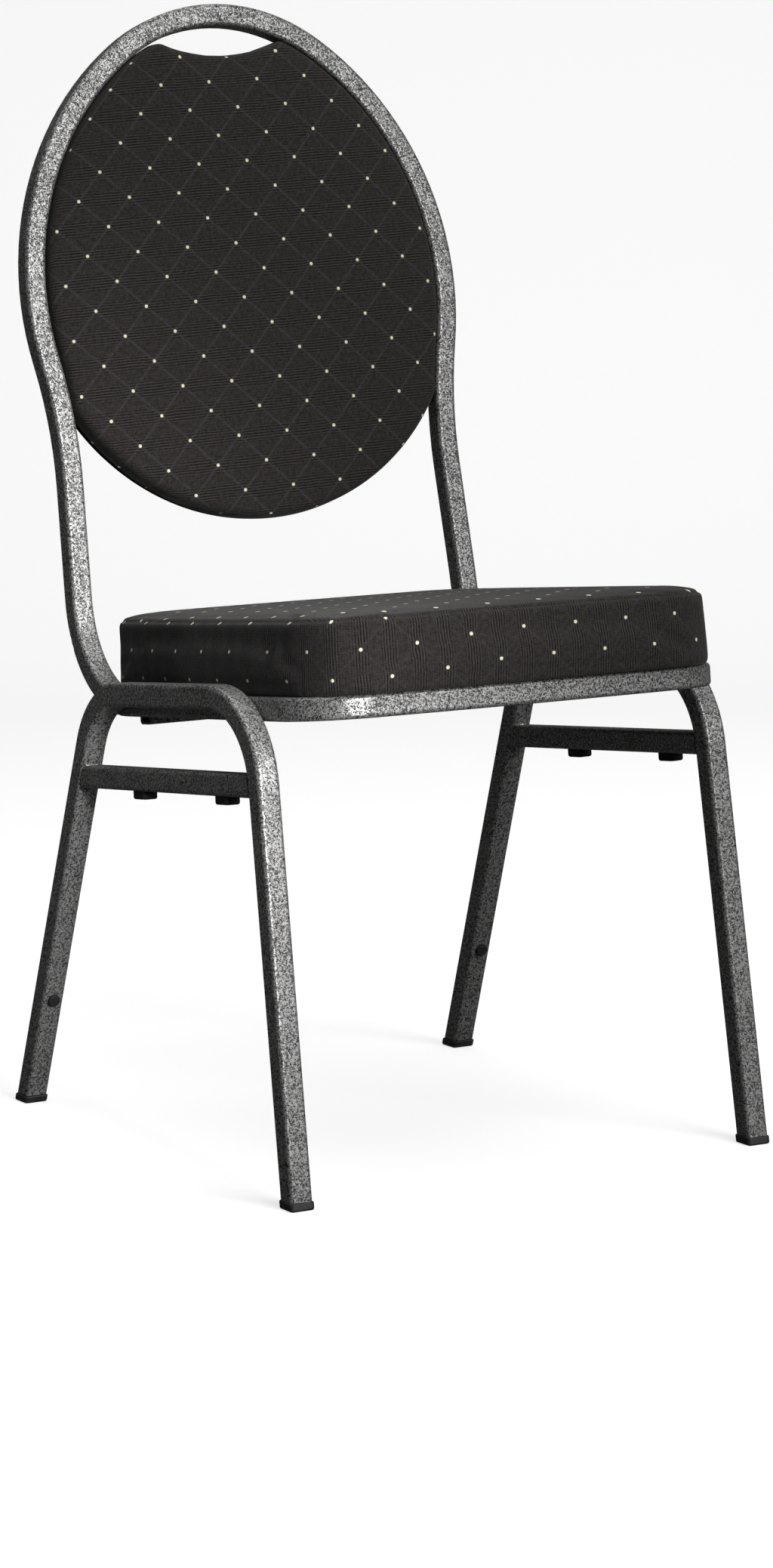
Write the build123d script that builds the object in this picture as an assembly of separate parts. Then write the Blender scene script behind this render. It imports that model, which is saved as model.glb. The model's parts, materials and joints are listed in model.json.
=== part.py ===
from build123d import *
import os
from math import cos, radians, sin, sqrt, tan

# Upholstered stacking chair, in millimetres and degrees.
# +Z is up, the front of the chair faces -Y, and the sitter's left is +X.
# Most shapes are drawn about the middle of the seat and moved to the origin
# under the middle of the whole chair as they are written out.

# Tube
LEG_TUBE = 20.0          # square tube of the two leg frames
RAIL_TUBE = 19.0         # square tube of the hoop, the seat rails and the stretchers
TUBE_CORNER = 3.5
WALL = 1.5
FIT = 0.2                # room left between pieces that touch but aren't welded

# Leg frames: each is one tube bent into a front leg, a top bar and a rear leg
TOP_BAR_HEIGHT = 397.0   # upper face of the top bar at the middle of the seat
SEAT_TILT = 5.5          # the seat and top bars fall towards the back
FRONT_FOOT_Y = -204.5
REAR_FOOT_Y = 280.5
FRONT_RAKE = 9.2
REAR_RAKE = 20.6
LEG_BEND = 75.0
LEG_LEAN = 0.95          # the feet stand wider than the top bars
TOP_BAR_X = 210.2

# Stretchers and bumpers
STRETCHER_DROP = 80.0    # centre of the stretcher below the upper face of the top bar
BUMPER_PLACES = (65.0, -81.0)
BUMPER_LENGTH = 22.0
BUMPER_WIDTH = 14.0
BUMPER_HEIGHT = 7.0
BUMPER_CORNER = 4.0
BUMPER_EDGE = 2.0
STEM = 6.0               # diameter of every push-in stem
STEM_LENGTH = 6.0
REAR_BUMPER_HEIGHT = 100.0
REAR_BUMPER_DIAMETER = 11.0
REAR_BUMPER_DEPTH = 3.0
REAR_BUMPER_EDGE = 1.5

# Feet
SOLE = 7.0               # height of the cap under the end of the tube
CAP_OVERHANG = 1.0
SOLE_LOWER_EDGE = 1.8
SOLE_UPPER_EDGE = 0.8
PLUG_LENGTH = 24.0

# Seat frame, in the tilted plane of the seat
RAIL_X = 190.4
RAIL_DROP = 11.0         # upper face of the rails below the upper face of the top bars
SEAM_Y = -18.0           # butt joint between the hoop's rails and the front rail
FRONT_RAIL_Y = -206.0
FRONT_BOW = 9.0
FRONT_RAIL_CORNER = 52.0
REAR_RAIL_Y = 118.0
REAR_RAIL_DROP = 8.0
SLEEVE_LENGTH = 60.0

# Hoop
SEAT_BEND = 90.0
HOOP_CORNER_Y = 202.4    # where the rail's and the back's centre lines would cross
RECLINE = 11.3
HOOP_RISE = 590.0        # from that crossing to the centre line at the top
CROWN_RADIUS = 160.0
CROWN_TURN = 36.0
SIDE_RADIUS = 261.0
NECK_RADIUS = 446.0
NECK_SPREAD = 2.2        # the hoop widens a little from the waist down to the seat
FOOT_RADIUS = 300.0

# Seat upholstery
CUSHION_HALF_WIDTH = 189.0
CUSHION_FRONT_Y = -226.0
CUSHION_REAR_Y = 198.0
CUSHION_REAR_HALF_WIDTH = 176.0
CUSHION_TAPER_Y = 30.0   # behind this the sides draw in to pass between the hoop's tubes
CUSHION_BOW = 9.0
CUSHION_FRONT_CORNER = 56.0
CUSHION_REAR_CORNER = 45.0
CUSHION_TAPER_CORNER = 150.0
CUSHION_TOP = 54.0       # above the upper face of the top bars
CUSHION_EDGE = 18.0
CUSHION_LOWER_EDGE = 4.0
BOARD_INSET = 6.0
SEAT_BOARD = 12.0

# Back upholstery
PAD_GAP = 0.8            # between the hoop and the pad all round
PAD_ARC_RADIUS = 208.5
PAD_ARC_HEIGHT = 356.0
DIP_BOTTOM = 554.0
DIP_RADIUS = 145.0
BACK_BOARD = 9.0
BACK_BOARD_FRONT = 3.5   # front face of the board ahead of the hoop's middle plane
PAD_FRONT = 15.5
PAD_EDGE = 7.0
BACK_COVER = 5.0
BACK_COVER_EDGE = 2.5
BACK_COVER_INSET = 1.0
BACK_INSET = 5.0

# Tabs and screws
TAB = 2.0
SEAT_TAB_PLACES = (100.0, -118.0)
SEAT_TAB_WIDTH = 30.0
SEAT_TAB_REACH = 32.0
SEAT_TAB_CORNER = 8.0
SEAT_SCREW = 6.0
SEAT_SCREW_HEAD = 12.0
SEAT_SCREW_HEAD_HEIGHT = 3.6
SEAT_SCREW_LENGTH = 13.0
SOCKET = 4.0             # across the flats
SOCKET_DEPTH = 2.4
TEE_NUT_FLANGE = 16.0
TEE_NUT_FLANGE_HEIGHT = 1.5
TEE_NUT_BARREL = 8.5
TEE_NUT_LENGTH = 9.0
BACK_TAB_HEIGHTS = (290.0, 455.0)
BACK_TAB_WIDTH = 22.0
BACK_TAB_REACH = 24.0
BACK_TAB_CORNER = 6.0
BACK_SCREW = 4.0
BACK_SCREW_HEAD = 8.0
BACK_SCREW_HEAD_HEIGHT = 2.0
BACK_SCREW_LENGTH = 9.0
SCREW_HEAD_EDGE = 1.0
DUST_COVER = 1.0
DUST_COVER_SIZE = (286.0, 250.0)
DUST_COVER_CORNER = 12.0
DUST_COVER_Y = -45.0

ORIGIN_Y = 50.0          # middle of the whole chair behind the middle of the seat
REACH = 1000.0           # longer than the chair in any direction

HANGING = (Align.CENTER, Align.CENTER, Align.MAX)
STANDING = (Align.CENTER, Align.CENTER, Align.MIN)

SEAT = Plane(
    origin=(0, 0, TOP_BAR_HEIGHT),
    x_dir=(1, 0, 0),
    z_dir=(0, sin(radians(SEAT_TILT)), cos(radians(SEAT_TILT))),
)
RAIL_CENTRE = -RAIL_DROP - RAIL_TUBE / 2
BACK = Plane(
    origin=SEAT.from_local_coords(Vector(0, HOOP_CORNER_Y, RAIL_CENTRE)),
    x_dir=(1, 0, 0),
    z_dir=(0, -cos(radians(RECLINE)), sin(radians(RECLINE))),
)


def ring(size):
    """Section of a square tube with rounded corners."""
    inside = size - 2 * WALL
    return RectangleRounded(size, size, TUBE_CORNER) - RectangleRounded(inside, inside, TUBE_CORNER - WALL)


def tube(path, size, across):
    """Hollow tube along a path, with one pair of faces square to `across`."""
    start = Plane(origin=path @ 0, x_dir=across, z_dir=path % 0)
    return sweep(start * ring(size), path=path)


def both_sides(shape):
    """A shape and its mirror image across the middle of the chair."""
    return Compound([*shape.solids(), *mirror(shape, about=Plane.YZ).solids()])


def slab(face, low, high):
    """A face thickened between two heights."""
    return Pos(0, 0, low) * extrude(face, high - low, dir=(0, 0, 1))


def group(shapes):
    """Several separate solids of one node."""
    return Compound([solid for shape in shapes for solid in shape.solids()])


# ---- side frames, drawn upright in the YZ plane and then leaned and moved out ----

FRONT_SLOPE = tan(radians(FRONT_RAKE))
REAR_SLOPE = -tan(radians(REAR_RAKE))


def leg_corner(foot_y, slope, drop):
    """Where a leg's line meets the line at a distance below the upper face of the top bar."""
    tilt = radians(SEAT_TILT)
    height = TOP_BAR_HEIGHT - drop / cos(tilt)
    z = (height - foot_y * tan(tilt)) / (1 + slope * tan(tilt))
    return foot_y + slope * z, z


def arch(inset):
    """Line of an upright side frame from floor to floor, moved inwards from its centre line."""
    front_y = FRONT_FOOT_Y + inset / cos(radians(FRONT_RAKE))
    rear_y = REAR_FOOT_Y - inset / cos(radians(REAR_RAKE))
    drop = LEG_TUBE / 2 + inset
    points = [
        (front_y, 0),
        leg_corner(front_y, FRONT_SLOPE, drop),
        leg_corner(rear_y, REAR_SLOPE, drop),
        (rear_y, 0),
    ]
    return FilletPolyline(*points, radius=LEG_BEND - inset)


def stand(shape):
    """Lean an upright side frame inwards at the top and move it out to +X."""
    lean = Location((TOP_BAR_X, 0, TOP_BAR_HEIGHT)) * Rotation(0, -LEG_LEAN, 0)
    return lean * Location((0, 0, -TOP_BAR_HEIGHT)) * shape


def leg_frame():
    frame = stand(tube(Plane.YZ * arch(0), LEG_TUBE, (1, 0, 0)))
    room_for_soles = Pos(0, 0, -SOLE) * Box(REACH, REACH, 4 * SOLE)
    hole = stand(rear_bumper_place() * Cylinder(STEM / 2 + FIT, 2 * STEM))
    return frame - room_for_soles - hole


def between_legs():
    """The space between the legs of an upright side frame."""
    inside = arch(LEG_TUBE / 2)
    face = make_face(inside + Line(inside @ 1, inside @ 0))
    return extrude(Plane.YZ * face, RAIL_TUBE, both=True)


def stretcher():
    length = REAR_FOOT_Y - FRONT_FOOT_Y
    start = SEAT.from_local_coords(Vector(0, -length / 2, -STRETCHER_DROP))
    end = SEAT.from_local_coords(Vector(0, length / 2, -STRETCHER_DROP))
    bar = tube(Wire([Edge.make_line(start, end)]), RAIL_TUBE, (1, 0, 0)) & between_legs()
    for y in BUMPER_PLACES:
        bar -= bumper_place(y) * Cylinder(STEM / 2 + FIT, 2 * STEM)
    return stand(bar)


def bumper_place(y):
    """Point on the underside of a stretcher, with Z pointing into the tube."""
    return SEAT.location * Pos(0, y, -STRETCHER_DROP - RAIL_TUBE / 2)


def stretcher_bumper(y):
    block = Box(BUMPER_WIDTH, BUMPER_LENGTH, BUMPER_HEIGHT, align=HANGING)
    block = fillet(block.edges().filter_by(Axis.Z), BUMPER_CORNER)
    block = fillet(block.faces().sort_by(Axis.Z)[0].edges(), BUMPER_EDGE)
    stem = Cylinder(STEM / 2, STEM_LENGTH, align=STANDING)
    return stand(bumper_place(y) * (block + stem))


def rear_bumper_place():
    """Point on the front face of an upright rear leg, with Z pointing into the tube."""
    rake = radians(REAR_RAKE)
    y = REAR_FOOT_Y + REAR_SLOPE * REAR_BUMPER_HEIGHT
    into = Vector(0, cos(rake), sin(rake))
    face = Vector(0, y, REAR_BUMPER_HEIGHT) - into * (LEG_TUBE / 2)
    return Plane(origin=face, x_dir=(1, 0, 0), z_dir=into).location


def rear_bumper():
    head = Cylinder(REAR_BUMPER_DIAMETER / 2, REAR_BUMPER_DEPTH, align=HANGING)
    head = fillet(head.faces().sort_by(Axis.Z)[0].edges(), REAR_BUMPER_EDGE)
    stem = Cylinder(STEM / 2, STEM_LENGTH, align=STANDING)
    return stand(rear_bumper_place() * (head + stem))


def foot_cap(foot_y, slope, rake):
    """Sole under a leg with a plug that fills the end of the tube."""
    spread = TOP_BAR_X + TOP_BAR_HEIGHT * tan(radians(LEG_LEAN))
    along = Vector(-tan(radians(LEG_LEAN)), slope, 1)
    stretch = 1 / cos(radians(rake))
    width = LEG_TUBE + 2 * CAP_OVERHANG
    plug_width = LEG_TUBE - 2 * WALL - 2 * FIT
    at_floor = Pos(spread, foot_y, 0)
    sole = extrude(at_floor * RectangleRounded(width, width * stretch, TUBE_CORNER), SOLE - FIT, dir=along)
    sole = fillet(sole.edges().group_by(Axis.Z)[0], SOLE_LOWER_EDGE)
    sole = fillet(sole.edges().group_by(Axis.Z)[-1], SOLE_UPPER_EDGE)
    plug_face = at_floor * Pos(along * (SOLE - CAP_OVERHANG)) * RectangleRounded(
        plug_width, plug_width * stretch, TUBE_CORNER - WALL - FIT
    )
    plug = extrude(plug_face, PLUG_LENGTH, dir=along)
    return sole + plug


# ---- hoop, drawn in the plane of the back ----

def back_outline(inset):
    """The +X half of the hoop's centre line, moved inwards by `inset`, from the top down.

    It is a crown arc, a side arc, a neck arc that curves the other way and a straight
    leg that spreads a little. The neck arc touches both the side arc and the leg.
    """
    crown = Vector(0, HOOP_RISE - CROWN_RADIUS)
    turn = radians(90 - CROWN_TURN)
    side = crown + Vector(cos(turn), sin(turn)) * (CROWN_RADIUS - SIDE_RADIUS)
    crown_r = CROWN_RADIUS - inset
    side_r = SIDE_RADIUS - inset
    neck_r = NECK_RADIUS + inset

    spread = radians(NECK_SPREAD)
    leg_up = Vector(-sin(spread), cos(spread))
    leg_out = Vector(cos(spread), sin(spread))
    leg_foot = Vector(RAIL_X, bend_reach() + FOOT_RADIUS * tan(spread / 2))
    # the neck's centre lies beside the leg and one radius outside the side arc
    start = leg_foot + leg_out * NECK_RADIUS - side
    along = start.dot(leg_up)
    reach = SIDE_RADIUS + NECK_RADIUS
    rise = -along - sqrt(along * along - start.dot(start) + reach * reach)
    neck = side + start + leg_up * rise

    top = Vector(0, crown.Y + crown_r)
    shoulder = crown + Vector(cos(turn), sin(turn)) * crown_r
    waist = side + (neck - side).normalized() * side_r
    leg_top = neck - leg_out * neck_r
    knee = leg_foot - leg_out * inset + leg_up * FOOT_RADIUS * tan(spread / 2)
    heel = Vector(RAIL_X - inset, bend_reach())
    return [
        arc(top, shoulder, crown, crown_r),
        arc(shoulder, waist, side, side_r),
        arc(waist, leg_top, neck, neck_r),
        Edge.make_line(leg_top, knee),
        arc(knee, heel, Vector(RAIL_X - FOOT_RADIUS, bend_reach()), FOOT_RADIUS - inset),
    ]


def arc(start, end, centre, radius):
    """The shorter arc between two points of a circle."""
    middle = centre + ((start + end) * 0.5 - centre).normalized() * radius
    return Edge.make_three_point_arc(start, middle, end)


def bend_reach():
    """Length of each straight that the bend between seat rail and back replaces."""
    return SEAT_BEND * tan(radians(90 + SEAT_TILT - RECLINE) / 2)


def hoop_path():
    """Centre line from the end of one seat rail, over the back, to the end of the other."""
    right = [BACK.location * edge for edge in reversed(back_outline(0))]
    heel = BACK.from_local_coords(Vector(RAIL_X, bend_reach(), 0))
    rail_end = SEAT.from_local_coords(Vector(RAIL_X, SEAM_Y, RAIL_CENTRE))
    bend_start = SEAT.from_local_coords(Vector(RAIL_X, HOOP_CORNER_Y - bend_reach(), RAIL_CENTRE))
    corner = BACK.from_local_coords(Vector(RAIL_X, 0, 0))
    centre_way = ((heel - corner).normalized() + (bend_start - corner).normalized()).normalized()
    half_turn = radians(90 + SEAT_TILT - RECLINE) / 2
    middle = corner + centre_way * (SEAT_BEND / cos(half_turn) - SEAT_BEND)
    right = [
        Edge.make_line(rail_end, bend_start),
        Edge.make_three_point_arc(bend_start, middle, heel),
        *right,
    ]
    left = [edge.mirror(Plane.YZ) for edge in reversed(right)]
    return Wire(right + left)


def back_hoop():
    return tube(hoop_path(), RAIL_TUBE, (1, 0, 0))


def inside_hoop(inset):
    """Face inside the hoop's centre line, moved inwards by `inset`."""
    right = back_outline(inset)
    left = [edge.mirror(Plane.YZ) for edge in right]
    heel = right[-1] @ 1
    floor = Edge.make_line(heel, Vector(-heel.X, heel.Y))
    return Face(Wire([*right, *left, floor]))


def pad_face(inset):
    """Outline of the back pad, moved inwards by `inset`: round below, dipped at the top."""
    hoop_inset = RAIL_TUBE / 2 + PAD_GAP + inset
    lower = Pos(0, PAD_ARC_HEIGHT) * Circle(PAD_ARC_RADIUS - inset)
    upper = Pos(0, PAD_ARC_HEIGHT) * Rectangle(REACH, REACH, align=(Align.CENTER, Align.MIN))
    dip = Pos(0, DIP_BOTTOM + DIP_RADIUS) * Circle(DIP_RADIUS + inset)
    return (Sketch() + inside_hoop(hoop_inset)) & (lower + upper) - dip


# ---- seat frame, drawn in the plane of the seat ----

def front_rail():
    end_y = FRONT_RAIL_Y + FRONT_BOW
    right_end = (RAIL_X, SEAM_Y - FIT)
    left_end = (-RAIL_X, SEAM_Y - FIT)
    with BuildLine() as line:
        Line(right_end, (RAIL_X, end_y))
        ThreePointArc((RAIL_X, end_y), (0, FRONT_RAIL_Y), (-RAIL_X, end_y))
        Line((-RAIL_X, end_y), left_end)
        fillet(line.vertices().filter_by(lambda corner: abs(corner.Y - end_y) < FIT), FRONT_RAIL_CORNER)
    path = SEAT.location * Pos(0, 0, RAIL_CENTRE) * line.wire()
    return tube(path, RAIL_TUBE, (1, 0, 0))


def rear_rail():
    half = RAIL_X - RAIL_TUBE / 2 - FIT
    centre = RAIL_CENTRE - REAR_RAIL_DROP
    path = Wire([Edge.make_line(Vector(-half, REAR_RAIL_Y, centre), Vector(half, REAR_RAIL_Y, centre))])
    return SEAT.location * tube(path, RAIL_TUBE, (0, 1, 0))


def joint_sleeve():
    width = RAIL_TUBE - 2 * WALL - 2 * FIT
    outside = Box(width, SLEEVE_LENGTH, width)
    outside = fillet(outside.edges().filter_by(Axis.Y), TUBE_CORNER - WALL)
    inside = width - 2 * WALL
    sleeve = outside - Box(inside, SLEEVE_LENGTH, inside)
    return SEAT.location * Pos(RAIL_X, SEAM_Y, RAIL_CENTRE) * sleeve


def seat_tab(y):
    """Flat plate welded to the inner face of a seat rail, under the board."""
    inner_face = RAIL_X - RAIL_TUBE / 2 - FIT
    plate = Box(SEAT_TAB_REACH, SEAT_TAB_WIDTH, TAB, align=(Align.MAX, Align.CENTER, Align.MAX))
    plate = fillet(plate.edges().filter_by(Axis.Z).group_by(Axis.X)[0], SEAT_TAB_CORNER)
    plate -= Pos(-SEAT_TAB_REACH / 2, 0, 0) * Cylinder(SEAT_SCREW / 2 + FIT, 4 * TAB)
    return SEAT.location * Pos(inner_face, y, -RAIL_DROP) * plate


def seat_screw_place(y):
    """Underside of a seat tab on the axis of its screw."""
    inner_face = RAIL_X - RAIL_TUBE / 2 - FIT
    return SEAT.location * Pos(inner_face - SEAT_TAB_REACH / 2, y, -RAIL_DROP - TAB)


def seat_screw(y):
    height = SEAT_SCREW_HEAD_HEIGHT
    head = Cylinder(SEAT_SCREW_HEAD / 2, height, align=HANGING)
    head = fillet(head.faces().sort_by(Axis.Z)[0].edges(), SCREW_HEAD_EDGE)
    socket = Pos(0, 0, -height) * extrude(RegularPolygon(SOCKET / 2, 6, major_radius=False), SOCKET_DEPTH)
    shank = Cylinder(SEAT_SCREW / 2, SEAT_SCREW_LENGTH, align=STANDING)
    return seat_screw_place(y) * (head + shank - socket)


def tee_nut(y):
    """Flanged nut let into the top of the seat board."""
    top = Pos(0, 0, TAB + SEAT_BOARD)
    flange = Cylinder(TEE_NUT_FLANGE / 2, TEE_NUT_FLANGE_HEIGHT, align=HANGING)
    barrel = Cylinder(TEE_NUT_BARREL / 2, TEE_NUT_LENGTH, align=HANGING)
    bore = Cylinder(SEAT_SCREW / 2 + FIT, 4 * TEE_NUT_LENGTH)
    return seat_screw_place(y) * (top * (flange + barrel) - bore)


# ---- seat upholstery ----

def seat_face(inset):
    """Outline of the seat: bowed front, wide front corners, and a rear that clears the hoop."""
    x = CUSHION_HALF_WIDTH - inset
    rear_x = CUSHION_REAR_HALF_WIDTH - inset
    front = CUSHION_FRONT_Y + inset
    side_front = front + CUSHION_BOW
    rear = CUSHION_REAR_Y - inset
    right = Polyline((rear_x, rear), (x, CUSHION_TAPER_Y), (x, side_front))
    left = Polyline((-x, side_front), (-x, CUSHION_TAPER_Y), (-rear_x, rear))
    face = make_face([right, ThreePointArc(right @ 1, (0, front), left @ 0), left, Line(left @ 1, right @ 0)])
    corners = {
        side_front: CUSHION_FRONT_CORNER - inset,
        CUSHION_TAPER_Y: CUSHION_TAPER_CORNER,
        rear: CUSHION_REAR_CORNER - inset,
    }
    for y, radius in corners.items():
        face = fillet(face.vertices().filter_by(lambda corner: abs(corner.Y - y) < FIT), radius)
    return face


def seat_board():
    board = SEAT.location * slab(seat_face(BOARD_INSET), FIT - RAIL_DROP, SEAT_BOARD - RAIL_DROP)
    for y in SEAT_TAB_PLACES:
        place = seat_screw_place(y) * Pos(0, 0, TAB + SEAT_BOARD)
        hole = Cylinder(TEE_NUT_BARREL / 2 + FIT, 3 * SEAT_BOARD)
        recess = Cylinder(TEE_NUT_FLANGE / 2 + FIT, 2 * (TEE_NUT_FLANGE_HEIGHT + FIT))
        board -= both_sides(place * (hole + recess))
    return board


def seat_cushion():
    cushion = slab(seat_face(0), FIT - RAIL_DROP, CUSHION_TOP)
    cushion = fillet(cushion.faces().sort_by(Axis.Z)[-1].edges(), CUSHION_EDGE)
    cushion = fillet(cushion.faces().sort_by(Axis.Z)[0].edges(), CUSHION_LOWER_EDGE)
    pocket = slab(seat_face(BOARD_INSET - FIT), -2 * RAIL_DROP, SEAT_BOARD - RAIL_DROP + FIT)
    return SEAT.location * (cushion - pocket)


def seat_dust_cover():
    width, length = DUST_COVER_SIZE
    sheet = Box(width, length, DUST_COVER, align=HANGING)
    sheet = fillet(sheet.edges().filter_by(Axis.Z), DUST_COVER_CORNER)
    return SEAT.location * Pos(0, DUST_COVER_Y, -RAIL_DROP) * sheet


# ---- back upholstery ----

BACK_BOARD_REAR = BACK_BOARD_FRONT - BACK_BOARD


def back_layer(inset, front, rear):
    """Slab of the pad's outline between two distances ahead of the hoop's middle plane."""
    return slab(pad_face(inset), rear, front)


def back_tab_x(height):
    """Half width inside the hoop at a height along the back."""
    level = Edge.make_line(Vector(0, height), Vector(REACH, height))
    crossings = [edge.find_intersection_points(level) for edge in back_outline(RAIL_TUBE / 2)]
    return max(point.X for points in crossings for point in points)


def back_tab_place(height):
    return BACK.location * Pos(back_tab_x(height) - FIT, height, BACK_BOARD_REAR - FIT)


def back_tab(height):
    """Flat plate welded inside the hoop, behind the back board."""
    into_tube = RAIL_TUBE / 2
    plate = Box(BACK_TAB_REACH + into_tube, BACK_TAB_WIDTH, TAB, align=(Align.MAX, Align.CENTER, Align.MAX))
    plate = fillet(plate.edges().filter_by(Axis.Z).group_by(Axis.X)[0], BACK_TAB_CORNER)
    plate = Pos(into_tube, 0, 0) * plate
    plate -= Pos(-BACK_TAB_REACH / 2, 0, 0) * Cylinder(BACK_SCREW / 2 + FIT, 4 * TAB)
    inside = slab(inside_hoop(RAIL_TUBE / 2 + FIT), -RAIL_TUBE, RAIL_TUBE)
    return back_tab_place(height) * plate & BACK.location * inside


def back_screw(height):
    head = Cylinder(BACK_SCREW_HEAD / 2, BACK_SCREW_HEAD_HEIGHT, align=HANGING)
    head = fillet(head.faces().sort_by(Axis.Z)[0].edges(), SCREW_HEAD_EDGE)
    shank = Cylinder(BACK_SCREW / 2, BACK_SCREW_LENGTH, align=STANDING)
    return back_tab_place(height) * Pos(-BACK_TAB_REACH / 2, 0, -TAB) * (head + shank)


def back_board():
    board = BACK.location * back_layer(BACK_INSET, BACK_BOARD_FRONT, BACK_BOARD_REAR)
    for height in BACK_TAB_HEIGHTS:
        place = back_tab_place(height) * Pos(-BACK_TAB_REACH / 2, 0, 0)
        board -= both_sides(place * Cylinder(BACK_SCREW / 2 + FIT / 2, 2 * BACK_SCREW_LENGTH))
    return board


def back_cushion():
    pad = back_layer(0, PAD_FRONT, BACK_BOARD_REAR)
    pad = fillet(pad.faces().sort_by(Axis.Z)[-1].edges(), PAD_EDGE)
    pocket = back_layer(BACK_INSET - FIT, BACK_BOARD_FRONT + FIT, BACK_BOARD_REAR - BACK_BOARD)
    return BACK.location * (pad - pocket)


def back_cover():
    front = BACK_BOARD_REAR - TAB - 2 * FIT
    cover = back_layer(BACK_COVER_INSET, front, front - BACK_COVER)
    cover = fillet(cover.faces().sort_by(Axis.Z)[0].edges(), BACK_COVER_EDGE)
    cover = BACK.location * cover
    room_for_head = Cylinder(BACK_SCREW_HEAD / 2 + 4 * FIT, 2 * (BACK_SCREW_HEAD_HEIGHT + 4 * FIT))
    for height in BACK_TAB_HEIGHTS:
        place = back_tab_place(height) * Pos(-BACK_TAB_REACH / 2, 0, -TAB)
        cover -= both_sides(place * room_for_head)
    return cover


def write(name, shape):
    export_step(Pos(0, -ORIGIN_Y, 0) * shape, f"parts/{name}.step")


def write_pair(name, shape):
    """Write a part drawn on the +X side, the sitter's left, and its mirror image."""
    write(f"left_{name}", shape)
    write(f"right_{name}", mirror(shape, about=Plane.YZ))


write_pair("leg_frame", leg_frame())
write_pair("stretcher", stretcher())
write_pair("front_foot", foot_cap(FRONT_FOOT_Y, FRONT_SLOPE, FRONT_RAKE))
write_pair("rear_foot", foot_cap(REAR_FOOT_Y, REAR_SLOPE, REAR_RAKE))
write("stretcher_bumpers", both_sides(group(stretcher_bumper(y) for y in BUMPER_PLACES)))
write("rear_leg_bumpers", both_sides(rear_bumper()))
write("back_hoop", back_hoop())
write("front_seat_rail", front_rail())
write("rear_seat_rail", rear_rail())
write("joint_sleeves", both_sides(joint_sleeve()))
write("seat_tabs", both_sides(group(seat_tab(y) for y in SEAT_TAB_PLACES)))
write("seat_screws", both_sides(group(seat_screw(y) for y in SEAT_TAB_PLACES)))
write("seat_tee_nuts", both_sides(group(tee_nut(y) for y in SEAT_TAB_PLACES)))
write("seat_board", seat_board())
write("seat_cushion", seat_cushion())
write("seat_dust_cover", seat_dust_cover())
write("back_tabs", both_sides(group(back_tab(height) for height in BACK_TAB_HEIGHTS)))
write("back_screws", both_sides(group(back_screw(height) for height in BACK_TAB_HEIGHTS)))
write("back_board", back_board())
write("back_cushion", back_cushion())
write("back_cover", back_cover())
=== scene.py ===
import json
from math import atan2, cos, pi, radians, sin

import bmesh
import bpy
import numpy as np
from mathutils import Matrix, Vector


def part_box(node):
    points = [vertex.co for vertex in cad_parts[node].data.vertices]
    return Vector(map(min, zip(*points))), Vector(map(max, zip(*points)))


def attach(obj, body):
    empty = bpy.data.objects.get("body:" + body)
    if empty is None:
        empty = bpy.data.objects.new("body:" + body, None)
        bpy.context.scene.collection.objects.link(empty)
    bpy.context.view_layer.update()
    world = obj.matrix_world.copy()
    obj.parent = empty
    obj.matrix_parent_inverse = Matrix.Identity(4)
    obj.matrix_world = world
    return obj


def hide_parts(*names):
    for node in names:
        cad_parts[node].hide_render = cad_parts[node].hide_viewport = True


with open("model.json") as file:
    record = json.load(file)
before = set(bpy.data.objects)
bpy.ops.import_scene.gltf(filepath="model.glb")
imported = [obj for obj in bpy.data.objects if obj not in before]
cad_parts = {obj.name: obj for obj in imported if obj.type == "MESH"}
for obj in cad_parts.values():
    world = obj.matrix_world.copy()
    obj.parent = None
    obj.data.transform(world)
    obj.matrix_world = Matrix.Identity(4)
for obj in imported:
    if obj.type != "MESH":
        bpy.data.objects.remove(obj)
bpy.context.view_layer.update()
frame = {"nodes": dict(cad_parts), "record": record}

TO_MM = 1000

# ---- planes of the chair, in metres ----

stacking_bar = next(m for m in frame["record"]["mounts"] if m["name"] == "left_stacking_bar")
SEAT_UP = Vector((0, stacking_bar["axis"][1], stacking_bar["axis"][2])).normalized()
SEAT_ORIGIN = Vector((0, stacking_bar["pos_m"][1], stacking_bar["pos_m"][2]))
HOOP_CORNER = Vector((0, 0.1495, 0.3572))   # where the seat rails' and the back's centre lines cross
FORWARDS = -0.9          # a face looks forwards when its normal's Y is below this


def plane(origin, normal):
    """Matrix of a plane whose X is the chair's X and whose Z is the normal."""
    x = Vector((1, 0, 0))
    y = normal.cross(x)
    return Matrix.Translation(origin) @ Matrix((x, y, normal)).transposed().to_4x4()


def front_normal(node):
    """Mean normal of the faces of a node that look forwards, square to the chair's X."""
    total = Vector()
    for face in frame["nodes"][node].data.polygons:
        if face.normal.y < FORWARDS:
            total += face.normal * face.area
    return Vector((0, total.y, total.z)).normalized()


SEAT = plane(SEAT_ORIGIN, SEAT_UP)
BACK = plane(HOOP_CORNER, front_normal("back_board"))

# ---- shader nodes ----


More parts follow.
